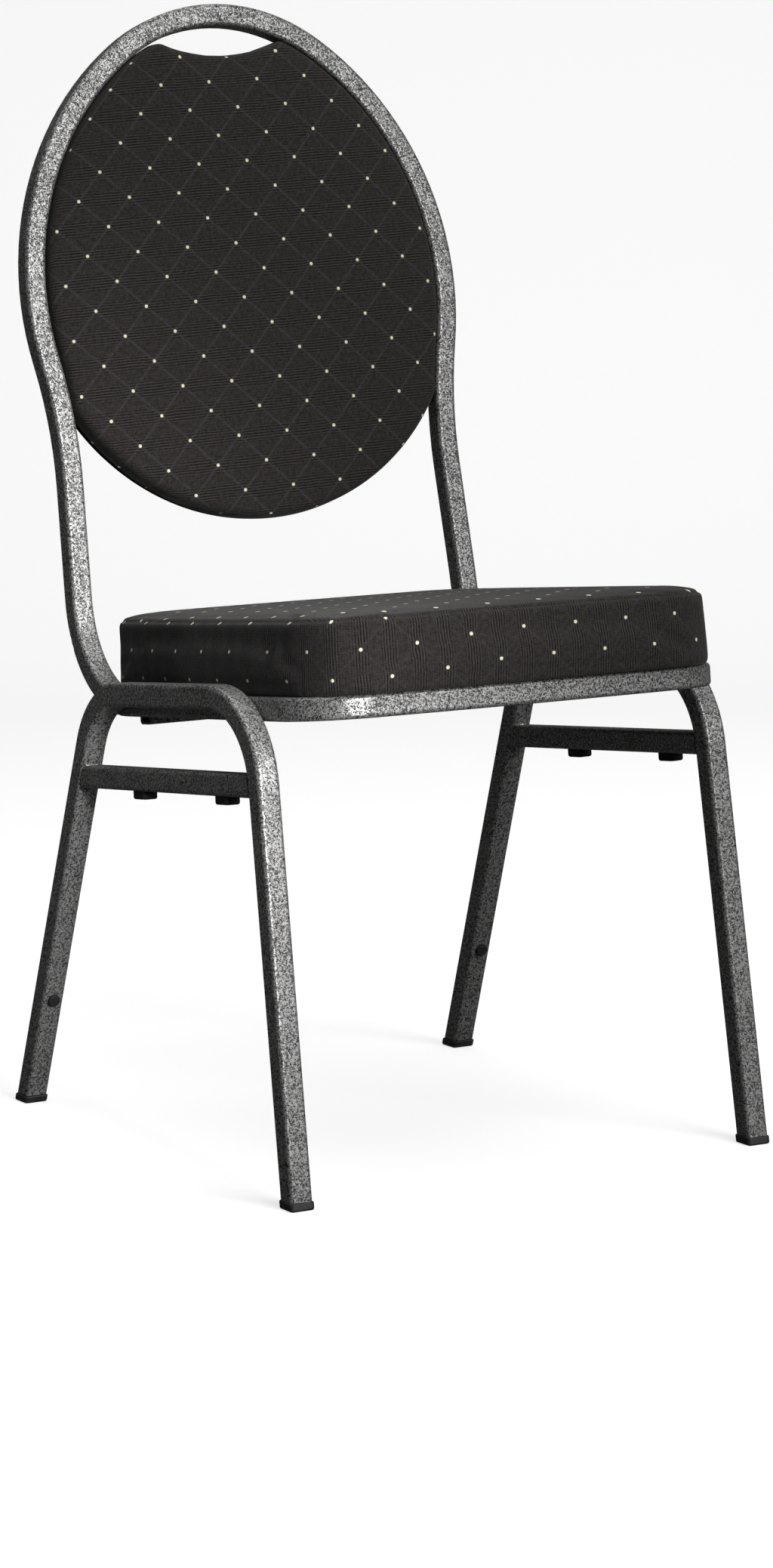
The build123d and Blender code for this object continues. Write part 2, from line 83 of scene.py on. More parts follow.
class Shader:
    """A material and short ways to add nodes to it."""

    def __init__(self, name, roughness=0.5, **sockets):
        self.material = bpy.data.materials.new(name)
        self.material.use_nodes = True
        self.tree = self.material.node_tree
        self.surface = self.tree.nodes["Principled BSDF"]
        self.surface.inputs["Roughness"].default_value = roughness
        for socket, value in sockets.items():
            self.surface.inputs[socket.replace("_", " ")].default_value = value

    def node(self, kind, inputs=(), **settings):
        """New node with its inputs set to values or linked to sockets."""
        node = self.tree.nodes.new(kind)
        for key, value in settings.items():
            setattr(node, key, value)
        for key, value in dict(inputs).items():
            self.feed(node.inputs[key], value)
        return node

    def feed(self, socket, value):
        if isinstance(value, bpy.types.NodeSocket):
            self.tree.links.new(value, socket)
        else:
            socket.default_value = value

    def set(self, socket, value):
        self.feed(self.surface.inputs[socket], value)

    def math(self, operation, *values):
        return self.node("ShaderNodeMath", dict(enumerate(values)), operation=operation).outputs[0]

    def scaled(self, value, factor):
        return self.math("MULTIPLY", value, factor)

    def weighted(self, value, factor, other, other_factor):
        """Sum of two values, each times its factor."""
        return self.math("ADD", self.scaled(value, factor), self.scaled(other, other_factor))

    def centred(self, noise, factor):
        """A noise moved to swing round zero, times a factor."""
        return self.scaled(self.math("SUBTRACT", noise, 0.5), factor)

    def place(self):
        """Position in the chair's own frame, in metres."""
        return self.node("ShaderNodeTexCoord").outputs["Object"]

    def noise(self, scale, detail=2.0, roughness=0.5, place=None):
        """Noise texture, in the chair's own frame unless another place is given."""
        inputs = {"Vector": place or self.place(), "Scale": scale, "Detail": detail, "Roughness": roughness}
        return self.node("ShaderNodeTexNoise", inputs).outputs["Fac"]

    def step(self, value, low, high, to_low=0.0, to_high=1.0):
        """Smooth step of a value from low to high."""
        inputs = {"Value": value, "From Min": low, "From Max": high, "To Min": to_low, "To Max": to_high}
        return self.node("ShaderNodeMapRange", inputs, interpolation_type="SMOOTHSTEP").outputs["Result"]

    def blend(self, factor, low, high):
        """Mix of two colours."""
        node = self.node("ShaderNodeMix", data_type="RGBA")
        self.feed(node.inputs[0], factor)
        for socket, value in ((node.inputs[6], low), (node.inputs[7], high)):
            self.feed(socket, value if isinstance(value, bpy.types.NodeSocket) else (*value, 1.0))
        return node.outputs[2]

    def bump(self, height, distance, strength=1.0):
        inputs = {"Height": height, "Distance": distance, "Strength": strength}
        self.set("Normal", self.node("ShaderNodeBump", inputs).outputs["Normal"])


PAINT_BLACK, PAINT_SILVER = (0.01, 0.01, 0.0105), (0.53, 0.525, 0.52)
VEIN_SHARE, CLUMP_SHARE, DRIFT = 0.52, 0.48, 0.06   # shares of fine, coarse and wide grain
SILVER_START, SILVER_FULL = 0.412, 0.605            # the grain's values where silver starts and is full


def hammertone():
    """Black powder coat with a fine silver vein, as on the whole frame."""
    s = Shader("hammertone_paint", roughness=0.4)
    vein = s.noise(scale=1120.0, detail=1.0)
    clump = s.noise(scale=480.0, roughness=0.6)
    wide = s.noise(scale=45.0)
    grain = s.weighted(vein, VEIN_SHARE, clump, CLUMP_SHARE)
    grain = s.math("ADD", grain, s.centred(wide, DRIFT))
    silver = s.step(grain, SILVER_START, SILVER_FULL)
    s.set("Base Color", s.blend(silver, PAINT_BLACK, PAINT_SILVER))
    s.set("Metallic", s.scaled(silver, 0.6))
    s.set("Roughness", s.step(silver, 0.0, 1.0, to_low=0.46, to_high=0.33))
    s.bump(grain, distance=0.0008, strength=0.4)
    return s.material


CLOTH_DARK, CLOTH_LIGHT = (0.006, 0.0054, 0.0054), (0.054, 0.047, 0.045)
CLOTH_LINE, CLOTH_DOT = (0.062, 0.056, 0.06), (0.95, 0.9, 0.68)
DOT_PITCH = 47.5                      # dots lie at the corners and middles of squares this wide, in mm
DOT_CORE, DOT_RIM = 1.0, 1.9          # radii of the full dot and of its faded edge, in mm
LINE_CORE, LINE_RIM = 0.4, 2.4        # the same for the diamonds' lines, measured along the cloth's X
DOT_SPREAD = 0.4                      # dots on a flat-pulled panel are larger by this share
RIB_PITCH, YARN_PITCH = 2.35, 1.3     # in mm
RIB_WOBBLE = 1.6                      # the ribs wander by up to half of this, in mm
YARN_RELIEF, DOT_RELIEF = 0.25, 1.5   # heights as shares of a rib's


def woven(name, rib_axis, lines_seen):
    """Charcoal cloth with ribs, faint diamonds and a cream dot where the diamonds cross.

    The cloth's own coordinates are the attribute "weave", in millimetres, with a dot at (0, 0).
    Its Z is 1 where the cloth is pulled flat and its dots spread, and 0 elsewhere.
    """
    s = Shader(name, roughness=0.92, Sheen_Weight=0.12, Sheen_Roughness=0.45, Specular_IOR_Level=0.18)
    cloth = s.node("ShaderNodeAttribute", attribute_name="weave").outputs["Vector"]
    split = s.node("ShaderNodeSeparateXYZ", {"Vector": cloth})
    u, v, flat = (split.outputs[axis] for axis in "XYZ")
    across, along = (u, v) if rib_axis == "X" else (v, u)

    relief = weave_relief(s, cloth, across, along)
    fleck = s.noise(scale=0.9, roughness=0.6, place=cloth)
    mottle = s.noise(scale=0.3, place=cloth)
    speck = s.math("ADD", s.math("SUBTRACT", fleck, 0.5), s.centred(mottle, 0.7))
    # The colour follows the ribs' and yarns' height: painted shade in their troughs and painted light on
    # their crests, mixed with the cloth's real flecks and mottle.
    tone = s.math("ADD", relief, s.scaled(speck, 2.2))
    colour = s.blend(s.step(tone, -1.1, 1.1), CLOTH_DARK, CLOTH_LIGHT)

    half = DOT_PITCH / 2
    slants = [s.math(way, u, v) for way in ("ADD", "SUBTRACT")]
    offs = [s.math("ABSOLUTE", s.math("WRAP", slant, half, -half)) for slant in slants]
    line = s.step(s.math("MINIMUM", *offs), LINE_CORE, LINE_RIM, to_low=lines_seen, to_high=0.0)
    broken = s.step(s.noise(scale=0.35, detail=3.0, roughness=0.7, place=cloth), 0.38, 0.58, to_low=0.3)
    colour = s.blend(s.math("MULTIPLY", line, broken), colour, CLOTH_LINE)

    dots = [distance_to_dot(s, u, v, shift) for shift in (0.0, half)]
    spread = s.math("ADD", s.scaled(flat, DOT_SPREAD), 1.0)
    nearest = s.math("DIVIDE", s.math("MINIMUM", *dots), spread)
    dot = s.step(nearest, DOT_CORE, DOT_RIM, to_low=1.0, to_high=0.0)
    s.set("Base Color", s.blend(dot, colour, CLOTH_DOT))
    s.bump(s.math("ADD", relief, s.scaled(dot, DOT_RELIEF)), distance=0.00025, strength=0.6)
    return s.material


def weave_relief(s, cloth, across, along):
    """Height of the cloth's ribs and yarns. The ribs fade in bands and in patches."""
    wobble = s.centred(s.noise(scale=0.06, place=cloth), RIB_WOBBLE)
    rib = s.math("SINE", s.scaled(s.math("ADD", across, wobble), 2 * pi / RIB_PITCH))
    yarn = s.math("SINE", s.scaled(along, 2 * pi / YARN_PITCH))
    band = s.math("COSINE", s.scaled(across, 4 * pi / DOT_PITCH))
    patch = s.noise(scale=0.09, detail=3.0, roughness=0.6, place=cloth)
    seen = s.math("MULTIPLY", s.step(patch, 0.36, 0.6, to_low=0.35), s.step(band, -0.6, 0.5, to_low=0.15))
    return s.math("ADD", s.math("MULTIPLY", rib, seen), s.scaled(yarn, YARN_RELIEF))


def distance_to_dot(s, u, v, shift):
    """Distance to the nearest dot of one of the cloth's two square grids."""
    half = DOT_PITCH / 2
    squares = []
    for value in (u, v):
        off = s.math("WRAP", s.math("ADD", value, shift), half, -half)
        squares.append(s.math("MULTIPLY", off, off))
    return s.math("SQRT", s.math("ADD", *squares))


def speckled(name, dark, light, scale, roughness, bump, metallic=0.0):
    """Plain moulded or plated surface with a little variation."""
    s = Shader(name, roughness=roughness, Metallic=metallic)
    grain = s.noise(scale=scale, detail=3.0, roughness=0.6)
    wide = s.noise(scale=scale / 12)
    shade = s.weighted(grain, 0.5, wide, 0.5)
    s.set("Base Color", s.blend(s.step(shade, 0.35, 0.65), dark, light))
    s.set("Roughness", s.step(wide, 0.3, 0.7, to_low=roughness * 0.85, to_high=min(1.0, roughness * 1.15)))
    s.bump(grain, distance=bump, strength=0.5)
    return s.material


VENEER_DARK, VENEER_LIGHT = (0.36, 0.23, 0.12), (0.58, 0.42, 0.26)
ALONG_GRAIN = (1.0, 0.07, 1.0)        # stretches the wood's grain along the chair


def plywood():
    """Birch face veneer with grain along the chair."""
    s = Shader("birch_plywood", roughness=0.7)
    place = s.node("ShaderNodeVectorMath", {0: s.place(), 1: ALONG_GRAIN}, operation="MULTIPLY").outputs[0]
    grain = s.noise(scale=160.0, detail=5.0, roughness=0.65, place=place)
    figure = s.noise(scale=22.0, detail=3.0, roughness=0.6, place=place)
    shade = s.weighted(grain, 0.5, figure, 0.5)
    s.set("Base Color", s.blend(s.step(shade, 0.35, 0.65), VENEER_DARK, VENEER_LIGHT))
    s.bump(grain, distance=0.0003, strength=0.6)
    return s.material


NONWOVEN_DARK, NONWOVEN_LIGHT = (0.01, 0.01, 0.011), (0.035, 0.035, 0.038)
EMBOSS_PITCH = 0.002


def nonwoven():
    """Thin black dust-cover cloth with a fine embossed grid."""
    s = Shader("nonwoven_cloth", roughness=0.95, Sheen_Weight=0.1, Sheen_Roughness=0.5)
    split = s.node("ShaderNodeSeparateXYZ", {"Vector": s.place()})
    waves = [s.math("SINE", s.scaled(split.outputs[axis], 2 * pi / EMBOSS_PITCH)) for axis in "XY"]
    pattern = s.math("MULTIPLY", *waves)
    fibre = s.noise(scale=900.0, detail=3.0, roughness=0.7)
    # The colour follows the embossed grid's height: painted shade in its dips and painted light on its raised
    # squares, mixed with the fibres' real unevenness.
    tone = s.math("ADD", s.scaled(pattern, 0.2), s.math("SUBTRACT", fibre, 0.5))
    s.set("Base Color", s.blend(s.step(tone, -0.4, 0.4), NONWOVEN_DARK, NONWOVEN_LIGHT))
    s.bump(pattern, distance=0.0002, strength=0.5)
    return s.material


PAINT = hammertone()
SEAT_CLOTH = woven("woven_seat_cloth", rib_axis="X", lines_seen=0.28)
BACK_CLOTH = woven("woven_back_cloth", rib_axis="Y", lines_seen=0.6)
PLASTIC = speckled("cap_plastic_moulded", dark=(0.02, 0.02, 0.021), light=(0.05, 0.05, 0.052),
                   scale=700.0, roughness=0.5, bump=0.0003)
RUBBER = speckled("bumper_rubber_matt", dark=(0.008, 0.008, 0.008), light=(0.022, 0.022, 0.022),
                  scale=500.0, roughness=0.75, bump=0.0003)
STEEL = speckled("zinc_plated_steel", dark=(0.42, 0.42, 0.41), light=(0.62, 0.62, 0.6),
                 scale=400.0, roughness=0.32, bump=0.0001, metallic=1.0)
PLYWOOD = plywood()
DUST_CLOTH = nonwoven()

BY_SLOT = {
    "frame_paint": PAINT,
    "plywood": PLYWOOD,
    "cap_plastic": PLASTIC,
    "bumper_rubber": RUBBER,
    "steel": STEEL,
    "fabric": SEAT_CLOTH,
    "dust_cloth": DUST_CLOTH,
}

# ---- mesh helpers ----


def new_piece(name, mesh, material):
    """Smooth-shaded object of the chair with one material."""
    piece = bpy.data.objects.new(name, mesh)
    bpy.context.scene.collection.objects.link(piece)
    mesh.materials.clear()
    mesh.materials.append(material)
    mesh.polygons.foreach_set("use_smooth", [True] * len(mesh.polygons))
    return piece


def finished(piece):
    """Replace a piece's mesh with the result of its modifiers."""
    graph = bpy.context.evaluated_depsgraph_get()
    mesh = bpy.data.meshes.new_from_object(piece.evaluated_get(graph))
    piece.modifiers.clear()
    piece.data = mesh


def modified(piece, kind, **settings):
    """Add one modifier to a piece and apply it."""
    modifier = piece.modifiers.new(kind.lower(), kind)
    for key, value in settings.items():
        setattr(modifier, key, value)
    finished(piece)


def points(mesh):
    co = np.empty(len(mesh.vertices) * 3)
    mesh.vertices.foreach_get("co", co)
    return co.reshape(-1, 3)


def move_points(mesh, co):
    mesh.vertices.foreach_set("co", co.ravel())
    mesh.update()


def node_points(node, place):
    """Vertices of a CAD node in the frame of a plane."""
    mesh = frame["nodes"][node].data.copy()
    mesh.transform(place.inverted())
    co = points(mesh)
    bpy.data.meshes.remove(mesh)
    return co


def smoothstep(x, low, high):
    t = np.clip((x - low) / (high - low), 0, 1)
    return t * t * (3 - 2 * t)


CLOTH_GRID = 0.0048      # spacing of the cloth's mesh before its one subdivision
RING_MULTIPLE = 32       # a ring's number of points is a multiple of this, so that it can be halved
HALVE_BELOW = 0.55       # a ring is halved once it has shrunk to this share since the last halving
LAST_RING = 1.5          # no ring is made closer to the middle than this many grid steps


def outline(node, place, level):
    """A node's outer section at a height of a plane, as evenly spaced points, anticlockwise.

    It starts at the point furthest out in X, and furthest along Y where several are, so that
    every run gives the same points.
    """
    mesh = bmesh.new()
    mesh.from_mesh(frame["nodes"][node].data)
    mesh.transform(place.inverted())
    bmesh.ops.remove_doubles(mesh, verts=mesh.verts[:], dist=1e-6)
    cut = bmesh.ops.bisect_plane(
        mesh, geom=mesh.verts[:] + mesh.edges[:] + mesh.faces[:], plane_co=(0, 0, level), plane_no=(0, 0, 1))
    edges = {e for e in cut["geom_cut"] if isinstance(e, bmesh.types.BMEdge)}
    start = max((v for e in edges for v in e.verts), key=lambda v: (v.co.x, v.co.y))
    loop, here = [], start
    while edges:
        edge = next((e for e in here.link_edges if e in edges), None)
        if edge is None:
            break
        edges.remove(edge)
        here = edge.other_vert(here)
        loop.append(here.co[:2])
    mesh.free()
    loop = np.array(loop)
    x, y = loop.T
    if (x * np.roll(y, -1) - y * np.roll(x, -1)).sum() < 0:
        loop = loop[::-1]
    closed = np.vstack([loop, loop[:1]])
    along = np.concatenate([[0], np.cumsum(np.linalg.norm(np.diff(closed, axis=0), axis=1))])
    count = RING_MULTIPLE * round(along[-1] / CLOTH_GRID / RING_MULTIPLE)
    at = np.arange(count) / count * along[-1]
    return np.stack([np.interp(at, along, closed[:, k]) for k in (0, 1)], 1)


def inward_of(loop):
    """Unit vectors square to a closed anticlockwise loop, pointing inwards."""
    way = np.roll(loop, -2, axis=0) - np.roll(loop, 2, axis=0)
    inward = np.stack([-way[:, 1], way[:, 0]], 1)
    return inward / np.linalg.norm(inward, axis=1, keepdims=True)


def pad_mesh(name, loop, inward, rim, centre, crown):
    """Closed pad lofted from rings: a rim of (inset, height) pairs between a flat base and a crowned top."""
    mesh = bmesh.new()
    rings = [[mesh.verts.new((x, y, height)) for x, y in loop + inward * inset] for inset, height in rim]
    for low, high in zip(rings, rings[1:]):
        bridge(mesh, low, high)
    close(mesh, rings[0], centre, 0.0)
    close(mesh, rings[-1], centre, crown)
    bmesh.ops.recalc_face_normals(mesh, faces=mesh.faces[:])
    data = bpy.data.meshes.new(name)
    mesh.to_mesh(data)
    mesh.free()
    return data


def bridge(mesh, low, high):
    """Faces between two rings. The second may have half as many points."""
    for i in range(len(high)):
        j = (i + 1) % len(high)
        if len(low) == len(high):
            mesh.faces.new((low[i], low[j], high[j], high[i]))
        else:
            mesh.faces.new((low[2 * i], low[2 * i + 1], high[i]))
            mesh.faces.new((low[2 * i + 1], low[2 * j], high[j], high[i]))


def close(mesh, ring, centre, crown):
    """Fill a ring with smaller rings, halved in points each time they have shrunk by about half."""
    last, edge = ring, np.array([v.co[:2] for v in ring])
    height = ring[0].co.z
    reach = np.linalg.norm(edge - centre, axis=1).mean()
    t, share = 0.0, 1
    while True:
        t += CLOTH_GRID * share / reach
        if 1 - t < LAST_RING * CLOTH_GRID * share / reach:
            break
        if (1 - t) * share < HALVE_BELOW and len(edge) % 2 == 0:
            share *= 2
            edge = edge[::2]
        here_z = height + crown * (1 - (1 - t) ** 2)
        here = [mesh.verts.new((x, y, here_z)) for x, y in edge + (centre - edge) * t]
        bridge(mesh, last, here)
        last = here
    middle = mesh.verts.new((*centre, height + crown))
    for i in range(len(last)):
        mesh.faces.new((last[i], last[(i + 1) % len(last)], middle))


def rounded(inset, height, radius, steps):
    """Quarter-round from a wall at `inset` up to a top at `height`, as (inset, height) pairs."""
    turns = [i / steps * pi / 2 for i in range(1, steps + 1)]
    return [(inset + radius * (1 - cos(a)), height - radius * (1 - sin(a))) for a in turns]


def wall(inset, low, high):
    """Straight upright part of a rim, as (inset, height) pairs."""
    steps = max(1, round((high - low) / CLOTH_GRID))
    return [(inset, low + (high - low) * i / steps) for i in range(steps + 1)]


AT_ONCE = 4000           # points measured against an outline at a time


def to_outline(xy, loop):
    """Nearest point of an outline to each point, and its place along the outline in loop points."""
    way = np.roll(loop, -1, axis=0) - loop
    length = np.maximum((way ** 2).sum(1), 1e-12)
    nearest, along = np.empty_like(xy), np.empty(len(xy))
    for start in range(0, len(xy), AT_ONCE):
        part = slice(start, start + AT_ONCE)
        p = xy[part]
        t = np.clip(((p[:, None] - loop) * way).sum(2) / length, 0, 1)
        q = loop + way * t[..., None]
        rows = np.arange(len(p))
        best = ((q - p[:, None]) ** 2).sum(2).argmin(1)
        nearest[part] = q[rows, best]
        along[part] = best + t[rows, best]
    return nearest, along


def at_outline(values, along):
    """Values given at the points of a closed outline, read between them."""
    low = np.floor(along).astype(int) % len(values)
    share = (along % 1)[:, None] if values.ndim > 1 else along % 1
    return values[low] * (1 - share) + values[(low + 1) % len(values)] * share


CLOTH_SETTINGS = {
    "quality": 6,
    "mass": 0.3,
    "tension_stiffness": 12,
    "compression_stiffness": 8,
    "shear_stiffness": 6,
    "bending_stiffness": 1.2,
    "air_damping": 2,
    "use_pressure": True,
}
CLOTH_FRAMES = 20


def puff(piece, held, pressure, cap):
    """Swell a piece with Blender's cloth. Vertices in `held` stay, and none moves more than cap."""
    start = points(piece.data)
    group = piece.vertex_groups.new(name="held")
    group.add([int(i) for i in np.flatnonzero(held)], 1.0, "REPLACE")
    cloth = piece.modifiers.new("cloth", "CLOTH")
    settings = cloth.settings
    for key, value in CLOTH_SETTINGS.items():
        setattr(settings, key, value)
    settings.uniform_pressure_force = pressure
    settings.vertex_group_mass = "held"
    settings.effector_weights.gravity = 0
    cloth.collision_settings.use_collision = False
    for step in range(1, CLOTH_FRAMES + 1):
        bpy.context.scene.frame_set(step)
    finished(piece)
    moved = points(piece.data) - start
    far = np.linalg.norm(moved, axis=1, keepdims=True)
    move_points(piece.data, start + moved * np.minimum(1, cap / np.maximum(far, 1e-9)))
    piece.vertex_groups.clear()
    bpy.context.scene.frame_set(1)


def set_weave(mesh, domain, values):
    attribute = mesh.attributes.new("weave", "FLOAT_VECTOR", domain)
    attribute.data.foreach_set("vector", values.ravel())


def lay_cloth(piece, loop, edge, top):
    """Give the back's pad or cover its cloth coordinates: flat over the top, then down over the edge.

    `edge` is the radius of the rim's rounding and `top` the height of the rim, in metres.
    """
    co = points(piece.data)
    nearest, along = to_outline(co[:, :2], loop)
    outward = -at_outline(inward_of(loop), along)
    outward /= np.linalg.norm(outward, axis=1, keepdims=True)
    signed = ((nearest - co[:, :2]) * outward).sum(1)
    over = np.clip(edge - signed, 0, edge)
    drop = np.maximum(top - co[:, 2], 0)
    arc = edge * np.arctan2(over, np.maximum(edge - drop, 1e-9))
    down = np.where(drop < edge, arc, edge * pi / 2 + drop - edge)
    wrapped = nearest + outward * (down - edge)[:, None]
    cloth = np.where((signed < edge)[:, None], wrapped, co[:, :2])
    cloth = (cloth - np.array(BACK_DOT)) * TO_MM
    angle = radians(BACK_TURN)
    turned = np.stack([cloth[:, 0] * cos(angle) + cloth[:, 1] * sin(angle),
                       cloth[:, 1] * cos(angle) - cloth[:, 0] * sin(angle),
                       np.zeros(len(cloth))], 1)
    set_weave(piece.data, "POINT", turned)


def lay_boxed_cloth(piece, loop, seam):
    """Cloth coordinates of the seat cushion: a flat top panel, and below the seam a border strip.

    The strip's first coordinate runs round the outline from the front, and its break is at the rear.
    """
    mesh = piece.data
    co = points(mesh)
    panel = np.column_stack([(co[:, :2] - np.array(SEAT_DOT)) * TO_MM, np.full(len(co), 1.0)])
    along = to_outline(co[:, :2], loop)[1]
    spacing = np.linalg.norm(loop[1] - loop[0])
    ends = len(loop) * spacing
    front = to_outline(np.array([[0.0, loop[:, 1].min()]]), loop)[1][0]
    run = ((along - front) * spacing + ends / 2) % ends - ends / 2

    vertex = np.empty(len(mesh.loops), int)
    mesh.loops.foreach_get("vertex_index", vertex)
    face = np.repeat(np.arange(len(mesh.polygons)), [p.loop_total for p in mesh.polygons])
    count = np.bincount(face)
    height = np.bincount(face, co[vertex, 2]) / count
    first = run[vertex[np.searchsorted(face, np.arange(len(count)))]]
    strip = run[vertex]
    strip += ends * np.round((first[face] - strip) / ends)   # a face across the break stays in one piece

    slack = BORDER_SLACK * smoothstep(np.abs(strip), *BORDER_CORNER)
    row = BORDER_ROW + BORDER_RISE * smoothstep(strip, *BORDER_RISING)
    border = np.stack([(strip - np.sign(strip) * slack - BORDER_DOT) * BORDER_STRETCH[0],
                       (co[vertex, 2] - row) * BORDER_STRETCH[1], np.zeros(len(strip))], 1) * TO_MM
    set_weave(mesh, "CORNER", np.where((height[face] < seam)[:, None], border, panel[vertex]))


def put(piece, place):
    """Move a finished piece from its plane to the chair and fix it to the body."""
    piece.data.transform(place)
    piece.data.update()
    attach(piece, "root")


# ---- carried-over CAD nodes ----

for node, piece in frame["nodes"].items():
    slot = next(part["material_slot"] for part in frame["record"]["subparts"] if part["node"] == node)
    piece.data.materials.clear()
    piece.data.materials.append(BY_SLOT[slot])

# ---- seat cushion ----

SEAT_BASE = -0.0108      # underside of the seat board in the seat plane
SEAT_POCKET = (0.0058, 0.0012)   # the board's place in the cushion: inset of its edge and height of its top
SEAT_LEVEL = 0.02        # height at which the cushion's outline is taken
SEAT_RIM = 0.0515        # height of the top panel's edge
SEAT_EDGE = 0.009        # radius of the rounding below it
SEAT_CROWN = 0.0045      # rise of the top panel from its edge to its middle
SEAT_HELD, SEAT_SWELL = 0.0, 0.002   # points below this height stay, and the others swell by at most this
SEAM_DROP = 0.0032       # the seam of the border strip lies this far below the rim
SEAM_DIP, SEAM_HALF_WIDTH = 0.0007, 0.0012

SEAT_DOT = (0.0144, -0.2065)               # place of one dot of the top panel
BORDER_DOT = -0.0113                       # one dot of the strip, measured round the cushion from its front
BORDER_ROW, BORDER_RISE = 0.0245, 0.0086   # height of the dots on the sitter's right, and their rise
BORDER_RISING = (-0.16, 0.0)               # towards the left, between these places round the cushion
BORDER_SLACK = 0.025                       # the strip is stretched by this much round each front corner,
BORDER_CORNER = (0.203, 0.333)             # between these distances from the front
BORDER_STRETCH = (0.977, 1.03)             # factors of the strip's coordinates, round the cushion and up it

TURN_UNDER = 0.030                         # width of the cloth margin stapled under the board
TURN_RINGS = (0.012, 0.021)                # insets of the rings between its ends
TURN_TOP, TURN_BOTTOM = 0.00003, 0.00017   # its faces lie this far under the board
BASE_ROLL = ((0.003, -0.00012), (0.0012, 0.0006))   # the cloth's turn from the margin to the wall
BASE_WALL = 0.004                          # the wall starts this far above the board's underside

FOLD_DEPTH, FOLD_PITCH = 0.0009, 0.0085
FOLD_FADE = 0.011                          # the folds fade over about this height
FOLD_SHIFT, FOLD_SHIFT_RATE = 1.3, 90      # unevenness of the folds, in radians and in radians per metre
FOLD_REACH = 0.004                         # only points this close to the outline are folded
TURN_WINDOW = 3                            # the outline's turning is measured over this many points each way

SEAT_LOOP = outline("seat_cushion", SEAT, SEAT_LEVEL)


def make_cushion():
    """Seat cushion: a crowned top panel, upright sides, and a cloth margin turned under the board."""
    inset, ceiling = SEAT_POCKET
    margin = [inset, *TURN_RINGS, TURN_UNDER]
    rim = wall(inset, SEAT_BASE, ceiling)[:0:-1] + [(width, SEAT_BASE - TURN_TOP) for width in margin]
    rim += [(width, SEAT_BASE - TURN_BOTTOM) for width in margin[::-1]]
    rim += [(width, SEAT_BASE + rise) for width, rise in BASE_ROLL]
    rim += wall(0.0, SEAT_BASE + BASE_WALL, SEAT_RIM - SEAT_EDGE) + rounded(0.0, SEAT_RIM, SEAT_EDGE, steps=6)
    centre = np.array([0.0, (SEAT_LOOP[:, 1].min() + SEAT_LOOP[:, 1].max()) / 2])
    mesh = pad_mesh("seat_cushion_upholstery", SEAT_LOOP, inward_of(SEAT_LOOP), rim, centre, SEAT_CROWN)
    piece = new_piece("seat_cushion_upholstery", mesh, SEAT_CLOTH)
    puff(piece, held=points(mesh)[:, 2] < SEAT_HELD, pressure=4.0, cap=SEAT_SWELL)
    modified(piece, "SUBSURF", levels=1)
    gather(piece)
    pinch(piece)
    lay_boxed_cloth(piece, SEAT_LOOP, SEAT_RIM - SEAM_DROP)
    put(piece, SEAT)
    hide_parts("seat_cushion")


def gather(piece):
    """Small upright folds at the base of the round corners, where the cloth is pulled under."""
    co = points(piece.data)
    nearest, along = to_outline(co[:, :2], SEAT_LOOP)
    way = np.roll(SEAT_LOOP, -1, axis=0) - SEAT_LOOP
    heading = np.unwrap(np.arctan2(way[:, 1], way[:, 0]))
    turning = np.abs(np.roll(heading, -TURN_WINDOW) - np.roll(heading, TURN_WINDOW))
    turning = np.where(turning < 1, turning, 0)   # drops the jump of a full turn where the loop starts
    turning = at_outline(turning / turning.max(), along)
    run = along * np.linalg.norm(SEAT_LOOP[1] - SEAT_LOOP[0])
    inward = at_outline(inward_of(SEAT_LOOP), along)
    close_by = np.linalg.norm(nearest - co[:, :2], axis=1) < FOLD_REACH
    depth = FOLD_DEPTH * turning * np.exp((SEAT_BASE - co[:, 2]) / FOLD_FADE) * close_by
    wave = np.cos(2 * pi * run / FOLD_PITCH + FOLD_SHIFT * np.sin(run * FOLD_SHIFT_RATE))
    co[:, :2] += inward * (depth * (0.5 + 0.5 * wave))[:, None]
    move_points(piece.data, co)


def pinch(piece):
    """Narrow dip where the border strip is sewn to the top panel."""
    co = points(piece.data)
    nearest, along = to_outline(co[:, :2], SEAT_LOOP)
    inward = at_outline(inward_of(SEAT_LOOP), along)
    close_by = np.linalg.norm(nearest - co[:, :2], axis=1) < SEAT_EDGE
    depth = SEAM_DIP * np.exp(-((co[:, 2] - SEAT_RIM + SEAM_DROP) / SEAM_HALF_WIDTH) ** 2) * close_by
    co[:, :2] += inward * depth[:, None]
    co[:, 2] -= depth
    move_points(piece.data, co)


# ---- back pad and rear cover ----

BACK_LEVEL = 0.003       # height at which the pad's outline is taken, from the hoop's middle plane
BACK_REAR = -0.0055      # rear face of the back board
BACK_RIM = 0.0145
BACK_EDGE = 0.007
BACK_CROWN = 0.0065
BACK_HELD, BACK_SWELL = 0.001, 0.0012   # as for the seat
BACK_POCKET = (0.0048, 0.0037)   # the board's place in the pad: inset of its edge and height of its front
BACK_ROLL = ((0.002, 0.0), (0.0006, 0.0006))   # the cloth's turn from the board to the wall
BACK_WALL = 0.002        # the wall starts this far in front of the board's rear face
COVER_WALL, COVER_EDGE, COVER_CROWN = 0.0012, 0.0025, 0.002
BACK_DOT = (0.0062, 0.5063)      # place of one dot of the back's cloth
BACK_TURN = 2.5                  # degrees by which that cloth is turned
CENTRE_SHARES = (0.52, 0.48)     # weights of the lowest and the highest point in the middle of the back


def inward_to(loop, centre):
    """Unit vectors from a loop towards a point."""
    inward = centre - loop
    return inward / np.linalg.norm(inward, axis=1, keepdims=True)


def back_centre(loop):
    """Point that the rings of the back's pad and cover shrink to."""
    low, high = CENTRE_SHARES
    return np.array([0.0, loop[:, 1].min() * low + loop[:, 1].max() * high])


